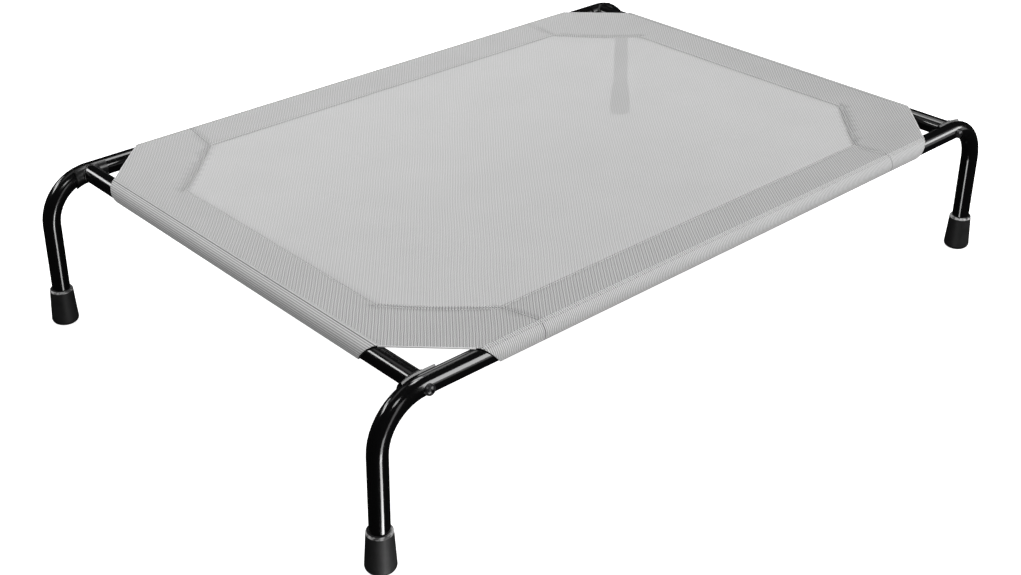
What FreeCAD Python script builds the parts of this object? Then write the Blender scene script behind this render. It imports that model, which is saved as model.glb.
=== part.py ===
import FreeCAD, Part
import math
import os
from FreeCAD import Placement, Rotation, Vector

# Raised dog bed: a bolted steel tube frame with a textile sling.
# Millimetres. The origin is on the floor under the middle of the bed.
# +X runs along the two leg rails, -Y is the front and +Z is up.

# ---- frame: driving sizes ----
corner_spacing = 1140.0      # along X, from leg axis to leg axis, at rail height
rail_spacing = 735.0         # along Y, from leg rail axis to leg rail axis
rail_height = 214.9          # floor to the axes of the rails and cross tubes
tube_radius = 12.5           # outside of every tube
tube_wall = 1.2
bend_radius = 64.0           # axis radius of the two bends in a leg rail
leg_splay = 1.27             # degrees that each leg leans outwards along X
cross_inset = 0.8            # cross tube axis, back from the start of the bend

# ---- corner joint: a saddle welded to the cross tube, one bolt through the rail ----
fit_gap = 0.1                # between curved faces that meet
saddle_length = 48.0         # along the rail
saddle_thickness = 2.5
saddle_wrap = 62.0           # degrees above and below the rail's inner side
bolt_radius = 3.0            # M6
hole_clearance = 0.25        # around the bolt in the tube walls and the saddle
head_radius = 5.25
head_height = 3.3
head_dome_radius = 7.0       # rounding of the button head
flange_radius = 6.5          # flange under the head
flange_thickness = 1.0
socket_flats = 4.0           # hexagon socket across its flats
socket_depth = 2.2
washer_radius = 6.9          # curved washer between the head and the rail
washer_thickness = 1.6       # at its thinnest, on the bolt axis
insert_length = 14.0         # threaded plug inside the cross tube
thread_engagement = 11.0
thread_gap = 0.05            # between the bolt and the plug, threads left plain
bolt_tip_chamfer = 0.8

# ---- foot caps ----
cap_height = 54.0
cap_rim_wall = 3.4           # wall of the cap at its top
cap_base_wall = 6.7          # wall of the cap at the floor
cap_floor = 6.0              # solid bottom under the leg's end
cap_base_round = 7.0
cap_rim_round = 2.4

# ---- sling ----
cloth_layer = 0.7            # one layer of the cloth
sleeve_slack = 0.4           # between a tube and the sleeve around it
layer_gap = 0.05             # between layers of cloth
seam_gap = 0.2               # between pieces of cloth that are sewn edge to edge
corner_cut = 77.0            # leg of the cut-off corner, along both tube axes
side_hem = 66.0              # doubled cloth, in from a cross tube axis
rail_hem = 57.0              # doubled cloth, in from a leg rail axis
patch_seam = 170.0           # corner patch seam on a leg rail, from the cross tube axis
rail_sleeve_rake = 0.4       # slope of a rail sleeve's end, from the top down
cross_sleeve_rake = 0.25     # slope of a cross sleeve's end, from the top down

# ---- worked out from the sizes above ----
splay = math.radians(leg_splay)
bend_turn = math.pi / 2 - splay
bend_tangent = bend_radius * math.tan(bend_turn / 2)
corner_x = corner_spacing / 2
rail_y = rail_spacing / 2
straight_x = corner_x - bend_tangent
cross_x = straight_x - cross_inset
leg_length = rail_height / math.cos(splay)
foot_x = corner_x + rail_height * math.tan(splay)
saddle_inner = tube_radius + fit_gap
saddle_outer = saddle_inner + saddle_thickness
cross_end = saddle_outer + fit_gap
tube_bore = tube_radius - tube_wall
bolt_hole = bolt_radius + hole_clearance
sleeve_inner = tube_radius + sleeve_slack
sleeve_outer = sleeve_inner + 2 * cloth_layer + 4 * layer_gap
patch_edge_x = cross_x - patch_seam
patch_edge_y = rail_y - (patch_seam + rail_hem - side_hem)
panel_top = rail_height + sleeve_outer
panel_bottom = panel_top - cloth_layer
hem_top = panel_bottom - layer_gap
hem_bottom = hem_top - cloth_layer
far = 2 * corner_spacing     # longer than anything in the bed

X_AXIS = Vector(1, 0, 0)
Y_AXIS = Vector(0, 1, 0)
Z_AXIS = Vector(0, 0, 1)
ORIGIN = Vector(0, 0, 0)


def mirrored(shape, side_x, side_y):
    """A shape built in the +X +Y quarter, moved to the quarter given by two signs."""
    if side_x < 0:
        shape = shape.mirror(ORIGIN, X_AXIS)
    if side_y < 0:
        shape = shape.mirror(ORIGIN, Y_AXIS)
    return shape


def leg_point(distance):
    """Point on the +X leg's axis, at a distance above the floor along the leg."""
    return Vector(foot_x - distance * math.sin(splay), 0, distance * math.cos(splay))


def flip_x(point):
    """The same point on the other side of the bed's middle."""
    return Vector(-point.x, point.y, point.z)


def rail_path():
    """Axis of a leg rail at y = 0: leg, bend, straight, bend, leg."""
    end = leg_point(cap_floor + fit_gap)
    bend_end = leg_point(leg_length - bend_tangent)
    bend_start = Vector(straight_x, 0, rail_height)
    centre = Vector(straight_x, 0, rail_height - bend_radius)
    middle = centre + Vector(math.sin(bend_turn / 2), 0, math.cos(bend_turn / 2)) * bend_radius
    edges = [
        Part.LineSegment(flip_x(end), flip_x(bend_end)).toShape(),
        Part.Arc(flip_x(bend_end), flip_x(middle), flip_x(bend_start)).toShape(),
        Part.LineSegment(flip_x(bend_start), bend_start).toShape(),
        Part.Arc(bend_start, middle, bend_end).toShape(),
        Part.LineSegment(bend_end, end).toShape(),
    ]
    return Part.Wire(edges)


def rail_bar(radius):
    """Round bar of a given radius along the axis of the +Y leg rail."""
    start = flip_x(leg_point(cap_floor + fit_gap))
    up_the_leg = Vector(math.sin(splay), 0, math.cos(splay))
    ring = Part.Wire([Part.makeCircle(radius, start, up_the_leg)])
    bar = rail_path().makePipeShell([ring], True, False)
    bar.translate(Vector(0, rail_y, 0))
    return bar


def bar_along_y(radius, y_from, y_to, x=0.0, z=0.0):
    """Round bar parallel to Y."""
    return Part.makeCylinder(radius, y_to - y_from, Vector(x, y_from, z), Y_AXIS)


def plate(outline, low, high):
    """Flat plate between two heights with a given outline of (x, y) corners."""
    corners = [Vector(x, y, low) for x, y in outline]
    face = Part.Face(Part.makePolygon(corners + corners[:1]))
    return face.extrude(Vector(0, 0, high - low))


def beyond(point, outward):
    """Large block on the outward side of the plane through a point."""
    block = Part.makeBox(far, far, far, Vector(-far / 2, -far / 2, 0))
    block.Placement = Placement(point, Rotation(Z_AXIS, outward))
    return block


def leg_rail():
    """The +Y leg rail: one bent tube with a bolt hole through it at each cross tube."""
    tube = rail_bar(tube_radius).cut(rail_bar(tube_bore))
    for side in (-1, 1):
        tube = tube.cut(bar_along_y(bolt_hole, 0, rail_spacing, side * cross_x, rail_height))
    return tube


def saddle():
    """Curved plate that follows the inner side of the rail and carries the cross tube."""
    shell = rail_bar(saddle_outer).cut(rail_bar(saddle_inner))
    start = Vector(cross_x - saddle_length / 2, rail_y, rail_height)
    wrap = math.radians(saddle_wrap)
    inward = Vector(0, -math.cos(wrap), 0) * 2 * saddle_outer
    upward = Vector(0, 0, math.sin(wrap)) * 2 * saddle_outer
    corners = [start, start + inward + upward, start + inward * 2, start + inward - upward, start]
    wedge = Part.Face(Part.makePolygon(corners)).extrude(X_AXIS * saddle_length)
    return shell.common(wedge).cut(bar_along_y(bolt_hole, 0, rail_y, cross_x, rail_height))


def cross_tube():
    """The +X cross tube, its ends coped to the saddles."""
    tube = bar_along_y(tube_radius, -rail_y, rail_y, cross_x, rail_height)
    tube = tube.cut(bar_along_y(tube_bore, -rail_y, rail_y, cross_x, rail_height))
    cope = rail_bar(cross_end)
    return tube.cut(cope).cut(mirrored(cope, 1, -1))


def threaded_insert():
    """Threaded steel plug welded into the end of a cross tube."""
    face_y = rail_y - cross_end
    plug = bar_along_y(tube_bore - fit_gap, face_y - insert_length, face_y, cross_x, rail_height)
    return plug.cut(bar_along_y(bolt_radius + thread_gap, 0, rail_y, cross_x, rail_height))


def curved_washer():
    """Washer with a flat outer face and an inner face curved to the rail."""
    outer_y = rail_y + tube_radius + fit_gap + washer_thickness
    disc = bar_along_y(washer_radius, rail_y, outer_y, cross_x, rail_height)
    disc = disc.cut(rail_bar(tube_radius + fit_gap))
    return disc.cut(bar_along_y(bolt_hole, rail_y, outer_y, cross_x, rail_height))


def button_bolt():
    """M6 flanged button-head bolt with a hexagon socket, its head on the outer side."""
    seat_y = tube_radius + fit_gap + washer_thickness
    tip_y = -cross_end - thread_engagement
    shank = Part.makeCylinder(bolt_radius, seat_y - tip_y, Vector(0, 0, 0), Z_AXIS)
    shank = shank.makeChamfer(bolt_tip_chamfer, [shank.Edges[2]])
    head_base = seat_y - tip_y
    flange = Part.makeCylinder(flange_radius, flange_thickness, Vector(0, 0, head_base), Z_AXIS)
    head = Part.makeCylinder(head_radius, head_height, Vector(0, 0, head_base), Z_AXIS)
    ball_depth = head_dome_radius - head_height
    ball = Part.makeSphere(head_dome_radius, Vector(0, 0, head_base - ball_depth))
    head = head.common(ball)
    socket_corners = []
    for step in range(7):
        angle = math.radians(60 * step)
        reach = socket_flats / 2 / math.cos(math.radians(30))
        socket_corners.append(Vector(reach * math.cos(angle), reach * math.sin(angle), head_base + head_height))
    socket = Part.Face(Part.makePolygon(socket_corners)).extrude(Z_AXIS * -socket_depth)
    bolt = shank.fuse([flange, head]).removeSplitter().cut(socket)
    bolt.Placement = Placement(Vector(cross_x, rail_y + tip_y, rail_height), Rotation(Z_AXIS, Y_AXIS))
    return bolt


def foot_cap():
    """Tapered cap on the +X +Y leg: it leans with the leg and stands flat on the floor."""
    bore = tube_radius + fit_gap
    rim = bore + cap_rim_wall
    base = bore + cap_base_wall
    sink = base * math.tan(splay)
    base_at_sink = base + (base - rim) * sink / cap_height
    body = Part.makeCone(base_at_sink, rim, cap_height + sink, Vector(0, 0, -sink), Z_AXIS)
    rim_edge = [edge for edge in body.Edges if edge.BoundBox.ZMin > cap_height / 2]
    body = body.makeFillet(cap_rim_round, rim_edge)
    base_edge = [edge for edge in body.Edges if edge.BoundBox.ZMax < 0]
    body = body.makeFillet(cap_base_round, base_edge)
    body = body.cut(Part.makeCylinder(bore, cap_height, Vector(0, 0, cap_floor), Z_AXIS))
    body.Placement = Placement(Vector(foot_x, rail_y, 0), Rotation(Y_AXIS, -leg_splay))
    return body.cut(beyond(ORIGIN, Vector(0, 0, -1)))


def rail_sleeve_ring(x_from, x_to):
    """Ring of cloth around the +Y leg rail between two places along it."""
    length = x_to - x_from
    start = Vector(x_from, rail_y, rail_height)
    ring = Part.makeCylinder(sleeve_outer, length, start, X_AXIS)
    return ring.cut(Part.makeCylinder(sleeve_inner, length, start, X_AXIS))


def rail_sleeve():
    """Sleeve around the middle of the +Y rail, with its seam allowance under the panel."""
    end_x = patch_edge_x - seam_gap / 2
    hem_y = rail_y - rail_hem
    hem = plate([(-end_x, rail_y), (end_x, rail_y), (end_x, hem_y), (-end_x, hem_y)], hem_bottom, hem_top)
    return rail_sleeve_ring(-end_x, end_x).fuse(hem).removeSplitter()


def cross_sleeve():
    """Sleeve around the +X cross tube, with its seam allowance under the panel."""
    end_y = rail_y - corner_cut
    ring = bar_along_y(sleeve_outer, -rail_y, rail_y, cross_x, rail_height)
    ring = ring.cut(bar_along_y(sleeve_inner, -rail_y, rail_y, cross_x, rail_height))
    hem_x = cross_x - side_hem
    hem_y = patch_edge_y - seam_gap / 2
    hem = plate([(cross_x, -hem_y), (cross_x, hem_y), (hem_x, hem_y), (hem_x, -hem_y)], hem_bottom, hem_top)
    sleeve = ring.fuse(hem).removeSplitter()
    for side in (-1, 1):
        top = Vector(cross_x, side * end_y, panel_top)
        sleeve = sleeve.cut(beyond(top, Vector(1, side, -cross_sleeve_rake)))
    return sleeve


def corner_patch():
    """Reinforced +X +Y corner: flat doubled cloth and the end of the rail's sleeve."""
    seam_x = patch_edge_x + seam_gap / 2
    seam_y = patch_edge_y + seam_gap / 2
    outline = [
        (seam_x, rail_y),
        (cross_x - corner_cut, rail_y),
        (cross_x, rail_y - corner_cut),
        (cross_x, seam_y),
        (cross_x - side_hem, seam_y),
        (seam_x, rail_y - rail_hem),
    ]
    flat = plate(outline, hem_bottom, hem_top)
    flat = flat.cut(bar_along_y(sleeve_outer + seam_gap, 0, rail_y, cross_x, rail_height))
    ring = rail_sleeve_ring(seam_x, cross_x)
    top = Vector(cross_x - corner_cut, rail_y, panel_top)
    ring = ring.cut(beyond(top, Vector(1, 1, -rail_sleeve_rake)))
    return flat.fuse(ring).removeSplitter()


def sleeping_panel():
    """Flat eight-sided panel between the tops of the four sleeves."""
    outline = []
    for side_x, side_y in ((1, 1), (-1, 1), (-1, -1), (1, -1)):
        on_rail = (side_x * (cross_x - corner_cut), side_y * rail_y)
        on_cross = (side_x * cross_x, side_y * (rail_y - corner_cut))
        outline += [on_cross, on_rail] if side_x * side_y > 0 else [on_rail, on_cross]
    panel = plate(outline, panel_bottom, panel_top)
    cut_radius = sleeve_outer + layer_gap
    for side in (-1, 1):
        start = Vector(-far / 2, side * rail_y, rail_height)
        panel = panel.cut(Part.makeCylinder(cut_radius, far, start, X_AXIS))
        panel = panel.cut(bar_along_y(cut_radius, -rail_y, rail_y, side * cross_x, rail_height))
    return panel


def save(node, shape):
    """Write one node as a STEP file."""
    shape.Solids[0].exportStep("parts/" + node + ".step")


os.makedirs("parts", exist_ok=True)

FRONT_REAR = (("front", -1), ("rear", 1))
LEFT_RIGHT = (("left", -1), ("right", 1))

rail = leg_rail()
rail_cloth = rail_sleeve()
for name, side in FRONT_REAR:
    save(name + "_leg_rail", mirrored(rail, 1, side))
    save(name + "_sleeve", mirrored(rail_cloth, 1, side))

tube = cross_tube()
cross_cloth = cross_sleeve()
for name, side in LEFT_RIGHT:
    save(name + "_cross_tube", mirrored(tube, side, 1))
    save(name + "_sleeve", mirrored(cross_cloth, side, 1))

corner_pieces = {
    "saddle": saddle(),
    "threaded_insert": threaded_insert(),
    "curved_washer": curved_washer(),
    "frame_bolt": button_bolt(),
    "foot_cap": foot_cap(),
    "corner_patch": corner_patch(),
}
for piece, shape in corner_pieces.items():
    for y_name, side_y in FRONT_REAR:
        for x_name, side_x in LEFT_RIGHT:
            save(y_name + "_" + x_name + "_" + piece, mirrored(shape, side_x, side_y))

save("sleeping_panel", sleeping_panel())
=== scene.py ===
"""Raised dog bed: sewn cloth cover, stitching, welds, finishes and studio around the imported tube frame."""

import logging
import math
from collections.abc import Callable, Iterable
from dataclasses import dataclass, replace
from enum import Enum

import bmesh
import bpy
from mathutils import Matrix, Vector


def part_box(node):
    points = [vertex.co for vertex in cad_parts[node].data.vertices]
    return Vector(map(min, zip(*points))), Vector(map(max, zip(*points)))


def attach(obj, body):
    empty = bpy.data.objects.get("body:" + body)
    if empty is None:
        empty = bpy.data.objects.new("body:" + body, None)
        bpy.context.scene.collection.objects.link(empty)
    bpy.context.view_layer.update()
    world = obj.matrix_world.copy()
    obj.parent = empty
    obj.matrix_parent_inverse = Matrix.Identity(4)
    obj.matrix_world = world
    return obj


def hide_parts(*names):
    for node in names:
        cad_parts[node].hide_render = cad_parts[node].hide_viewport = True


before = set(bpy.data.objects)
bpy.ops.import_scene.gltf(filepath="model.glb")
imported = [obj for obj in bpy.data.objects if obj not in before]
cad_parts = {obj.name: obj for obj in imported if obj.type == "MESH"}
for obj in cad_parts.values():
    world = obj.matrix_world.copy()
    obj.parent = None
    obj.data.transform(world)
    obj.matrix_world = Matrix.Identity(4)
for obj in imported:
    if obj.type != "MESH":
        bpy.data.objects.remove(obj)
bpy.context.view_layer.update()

log = logging.getLogger("raised_dog_bed")

MM = 0.001
BODY = "root"
CLOTH_UV = "cloth"
SEAM_SHADE = "seam_shade"
TRIM_WIDTH = 0.5 * MM
TRIM = (0.0, -TRIM_WIDTH)
LEAST_STEP = 0.05 * MM
CUT_TOLERANCE = 1e-7
BMesh = bmesh.types.BMesh
Socket = bpy.types.NodeSocket
Tone = tuple[float, float, float]
Place = Callable[[float, float], Vector]
Keep = Callable[[float, float], bool]
RowPath = Callable[[float], tuple[Vector, Vector]]
FlatLine = tuple[tuple[float, float], tuple[float, float], tuple[float, ...]]


class Labelled(Enum):
    """Options whose names are spelt as in the CAD nodes."""

    @property
    def label(self) -> str:
        """Name of the option as the CAD nodes spell it."""
        return self.name.lower()


class Corner(Labelled):
    """The four corners of the bed, as the signs of their X and Y."""

    FRONT_LEFT = (-1, -1)
    FRONT_RIGHT = (1, -1)
    REAR_LEFT = (-1, 1)
    REAR_RIGHT = (1, 1)


class Side(Labelled):
    """The four sleeves: the axis that their tube runs along (0 for X) and the sign of their side."""

    FRONT = (0, -1)
    REAR = (0, 1)
    LEFT = (1, -1)
    RIGHT = (1, 1)

    @property
    def along_rail(self) -> bool:
        """Whether the sleeve is on a leg rail."""
        return self.value[0] == 0

    @property
    def sign(self) -> int:
        """Sign of the side that the sleeve is on."""
        return self.value[1]


class Layers(Enum):
    """How the cloth lies: one layer, two layers sewn together, round a tube, or a folded edge."""

    SINGLE = "single"
    DOUBLE = "double"
    WRAPPED = "wrapped"
    FOLDED = "folded"


# ---- helpers


def make_piece(name: str, bm: BMesh, materials: Iterable[bpy.types.Material], slot: str,
               replaces: Iterable[str] = ()) -> bpy.types.Object:
    """Turn a bmesh into a finished piece that rides on the bed.

    Args:
        name: Name of the piece.
        bm: The shape, in metres, in the bed's frame; it is freed here.
        materials: Finishes, in the order of the faces' material numbers.
        slot: Not used.
        replaces: CAD nodes that the piece stands for.

    Returns:
        The new object.
    """
    mesh = bpy.data.meshes.new(name)
    for face in bm.faces:
        face.smooth = True
    bm.to_mesh(mesh)
    bm.free()
    piece = bpy.data.objects.new(name, mesh)
    bpy.context.scene.collection.objects.link(piece)
    for material in materials:
        mesh.materials.append(material)
    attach(piece, BODY)
    for node in replaces:
        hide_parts(node)
    log.info("made %s: %d faces", name, len(mesh.polygons))
    return piece


def spaced(start: float, stop: float, step: float) -> list[float]:
    """Evenly spaced values from start to stop, no further apart than step."""
    count = max(1, math.ceil(abs(stop - start) / step))
    return [start + (stop - start) * i / count for i in range(count + 1)]


def merged(*runs: Iterable[float]) -> list[float]:
    """Several runs of values in one rising list, without near doubles."""
    values: list[float] = []
    for value in sorted(v for run in runs for v in run):
        if not values or value - values[-1] > LEAST_STEP:
            values.append(value)
    return values


def bell(distance: float, width: float) -> float:
    """Bell curve that is 1 at no distance and fades over a width."""
    return math.exp(-(distance / width) ** 2)


def cloth_grid(across: list[float], along: list[float], place: Place, lines: Iterable[FlatLine],
               keep: Keep, pressed: Callable[[float, float], float]) -> BMesh:
    """Cloth cut flat and laid where it goes, with its flat pattern kept as its UV map.

    Args:
        across: Flat pattern's grid lines in its first direction, in metres.
        along: Flat pattern's grid lines in its second direction, in metres.
        place: Gives the point in the bed's frame for a point of the flat pattern.
        lines: Cuts and seams of the flat pattern: a point, a normal and the offsets at which edges run.
        keep: Tells which places of the flat pattern belong to the piece.
        pressed: Gives how strongly a seam presses the cloth at a place of the flat pattern, from 0 to 1; it
            is stored on the points as the strength of the painted shade along the seams.

    Returns:
        The sheet as a bmesh.
    """
    bm = bmesh.new()
    bmesh.ops.create_grid(bm, x_segments=len(across) - 1, y_segments=len(along) - 1, size=0.5)
    for vertex in bm.verts:
        column = round((vertex.co.x + 0.5) * (len(across) - 1))
        row = round((vertex.co.y + 0.5) * (len(along) - 1))
        vertex.co = Vector((across[column], along[row], 0.0))
    for point, normal, offsets in lines:
        out = Vector((*normal, 0.0)).normalized()
        for offset in offsets:
            bmesh.ops.bisect_plane(bm, geom=[*bm.verts, *bm.edges, *bm.faces], dist=CUT_TOLERANCE,
                                   plane_co=Vector((*point, 0.0)) + out * offset, plane_no=out)
    unused = [face for face in bm.faces if not keep(*face.calc_center_median().xy)]
    bmesh.ops.delete(bm, geom=unused, context="FACES")
    pattern = bm.loops.layers.uv.new(CLOTH_UV)
    for face in bm.faces:
        for loop in face.loops:
            loop[pattern].uv = loop.vert.co.xy
    # Painted shade: a number on each point that darkens the cloth along its seams, where the pressed-in
    # grooves are shaded.
    seam_shade = bm.verts.layers.float.new(SEAM_SHADE)
    for vertex in bm.verts:
        u, v = vertex.co.xy
        vertex[seam_shade] = pressed(u, v)
        vertex.co = place(u, v)
    bm.normal_update()
    bm.faces.ensure_lookup_table()
    return bm


def thicken(piece: bpy.types.Object, thickness: float) -> None:
    """Give a sheet its thickness, away from its outer face."""
    wall = piece.modifiers.new("cloth_thickness", "SOLIDIFY")
    wall.thickness = thickness
    wall.offset = -1.0
    wall.use_even_offset = True


# ---- finishes


class NodeBoard:
    """A material's node tree, with one short method per kind of node."""

    def __init__(self, name: str) -> None:
        """Start an empty material of this name."""
        self.material = bpy.data.materials.new(name)
        self.material.use_nodes = True
        self.tree = self.material.node_tree
        self.tree.nodes.clear()
        self.output = self.tree.nodes.new("ShaderNodeOutputMaterial")
        self.shader = self.tree.nodes.new("ShaderNodeBsdfPrincipled")
        self.tree.links.new(self.shader.outputs["BSDF"], self.output.inputs["Surface"])

    def feed(self, socket: Socket, value: object) -> None:
        """Link or set one input."""
        if isinstance(value, Socket):
            self.tree.links.new(value, socket)
        elif isinstance(value, tuple) and len(value) == 3 and socket.type == "RGBA":
            socket.default_value = (*value, 1.0)
        else:
            socket.default_value = value

    def object_point(self) -> Socket:
        """Object coordinates, in metres."""
        return self.tree.nodes.new("ShaderNodeTexCoord").outputs["Object"]

    def pattern_point(self) -> Socket:
        """Place on the cloth's flat pattern, in metres."""
        node = self.tree.nodes.new("ShaderNodeUVMap")
        node.uv_map = CLOTH_UV
        return node.outputs["UV"]

    def attribute(self, name: str) -> Socket:
        """A number stored on the piece's own points."""
        node = self.tree.nodes.new("ShaderNodeAttribute")
        node.attribute_name = name
        return node.outputs["Fac"]

    def parts(self, vector: Socket) -> tuple[Socket, ...]:
        """X, Y and Z of a vector."""
        node = self.tree.nodes.new("ShaderNodeSeparateXYZ")
        self.feed(node.inputs[0], vector)
        return node.outputs["X"], node.outputs["Y"], node.outputs["Z"]

    def math(self, operation: str, a: object, b: object = 0.0) -> Socket:
        """One arithmetic step."""
        node = self.tree.nodes.new("ShaderNodeMath")
        node.operation = operation
        self.feed(node.inputs[0], a)
        self.feed(node.inputs[1], b)
        return node.outputs[0]

    def times(self, a: object, b: object) -> Socket:
        """Product of two values."""
        return self.math("MULTIPLY", a, b)

    def plus(self, a: object, b: object) -> Socket:
        """Sum of two values."""
        return self.math("ADD", a, b)

    def minus(self, a: object, b: object) -> Socket:
        """Difference of two values."""
        return self.math("SUBTRACT", a, b)

    def noise(self, point: Socket, per_metre: float, detail: float = 2.0) -> Socket:
        """Noise from 0 to 1, with a number of waves to the metre and of finer octaves."""
        node = self.tree.nodes.new("ShaderNodeTexNoise")
        node.inputs["Scale"].default_value = per_metre
        node.inputs["Detail"].default_value = detail
        self.feed(node.inputs["Vector"], point)
        return node.outputs["Fac"]

    def ripple(self, position: Socket, pitch: float) -> Socket:
        """A wave from 0 to 1 that repeats each pitch, in metres."""
        swing = self.math("SINE", self.times(position, 2 * math.pi / pitch))
        return self.plus(self.times(swing, 0.5), 0.5)

    def spread(self, value: object, low: float, high: float, start: float = 0.0, end: float = 1.0) -> Socket:
        """A value that lies from start to end, stretched from low to high."""
        node = self.tree.nodes.new("ShaderNodeMapRange")
        self.feed(node.inputs["Value"], value)
        node.inputs["From Min"].default_value = start
        node.inputs["From Max"].default_value = end
        node.inputs["To Min"].default_value = low
        node.inputs["To Max"].default_value = high
        return node.outputs["Result"]

    def blend(self, share: object, a: object, b: object) -> Socket:
        """Mix of two colours."""
        node = self.tree.nodes.new("ShaderNodeMix")
        node.data_type = "RGBA"
        self.feed(node.inputs["Factor"], share)
        self.feed(node.inputs[6], a)
        self.feed(node.inputs[7], b)
        return node.outputs[2]

    def relief(self, height: Socket, depth: float, strength: float = 1.0) -> None:
        """Bump of the surface.

        Args:
            height: Height from 0 to 1.
            depth: What a height of 1 stands for, in metres.
            strength: Share of the bump that is used.
        """
        node = self.tree.nodes.new("ShaderNodeBump")
        node.inputs["Strength"].default_value = strength
        node.inputs["Distance"].default_value = depth
        self.feed(node.inputs["Height"], height)
        self.feed(self.shader.inputs["Normal"], node.outputs["Normal"])

    def set(self, **sockets: object) -> None:
        """Set or link the shader's inputs; an underscore in a name stands for a space."""
        for name, value in sockets.items():
            self.feed(self.shader.inputs[name.replace("_", " ")], value)


@dataclass(frozen=True)
class Finish:
    """What every finish has: a name and a way to lay it on a new material."""

    name: str

    def build(self) -> bpy.types.Material:
        """Make the material."""
        board = NodeBoard(self.name)
        self.lay(board, board.object_point())
        return board.material

    def lay(self, board: NodeBoard, point: Socket) -> None:
        """Set the material's nodes, from Object coordinates."""
        raise NotImplementedError


@dataclass(frozen=True)
class MottledFinish(Finish):
    """A finish whose tone and smoothness drift from place to place, over a grain in relief."""

    tone: Tone
    other_tone: Tone
    smoothest: float
    roughest: float
    cloud_per_metre: float
    cloud_detail: float
    grain_per_metre: float
    grain_detail: float
    grain_depth: float
    metallic: float = 0.0
    sheen: float = 0.0

    def lay(self, board: NodeBoard, point: Socket) -> None:
        """Clouds from one tone to the other, over the grain."""
        cloud = board.noise(point, self.cloud_per_metre, self.cloud_detail)
        board.set(Base_Color=board.blend(cloud, self.tone, self.other_tone), Metallic=self.metallic,
                  Roughness=board.spread(cloud, self.smoothest, self.roughest), Sheen_Weight=self.sheen)
        board.relief(board.noise(point, self.grain_per_metre, self.grain_detail), self.grain_depth)


@dataclass(frozen=True)
class CapPlastic(Finish):
    """Satin charcoal plastic with a fine spark-eroded grain, and a painted highlight on its rim."""

    name: str = "satin_cap_plastic"
    tone: Tone = (0.008, 0.008, 0.0084)
    scuffed_tone: Tone = (0.019, 0.019, 0.0195)
    # Tone of the painted highlight ring on the rim, and how noise breaks it up.
    rim_highlight_tone: Tone = (0.62, 0.62, 0.62)
    rim_bottom: float = 51.0 * MM
    rim_top: float = 53.6 * MM
    rim_blur: float = 0.5 * MM
    rim_per_metre: float = 140.0
    least_rim_highlight: float = 0.10
    rim_highlight_starts: float = 0.40
    rim_highlight_full: float = 0.60
    smoothest: float = 0.50
    roughest: float = 0.64
    shine: float = 0.17
    scuff_per_metre: float = 90.0
    grain_per_metre: float = 2200.0
    grain_depth: float = 0.02 * MM

    def lay(self, board: NodeBoard, point: Socket) -> None:
        """Scuffed plastic, with a painted highlight: a broken light ring around the rim."""
        scuff = board.noise(point, self.scuff_per_metre, 4.0)
        # Painted highlight: a light ring painted on the rounded rim between two heights, broken up by noise.
        _, _, height = board.parts(point)
        above = board.spread(height, 0.0, 1.0, self.rim_bottom - self.rim_blur, self.rim_bottom)
        below = board.spread(height, 1.0, 0.0, self.rim_top, self.rim_top + self.rim_blur)
        broken = board.spread(board.noise(point, self.rim_per_metre), self.least_rim_highlight, 1.0,
                              self.rim_highlight_starts, self.rim_highlight_full)
        rim_highlight = board.times(board.times(above, below), broken)
        plain = board.blend(scuff, self.tone, self.scuffed_tone)
        board.set(Base_Color=board.blend(rim_highlight, plain, self.rim_highlight_tone),
                  Roughness=board.spread(scuff, self.smoothest, self.roughest), Specular_IOR_Level=self.shine)
        board.relief(board.noise(point, self.grain_per_metre), self.grain_depth)


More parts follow.
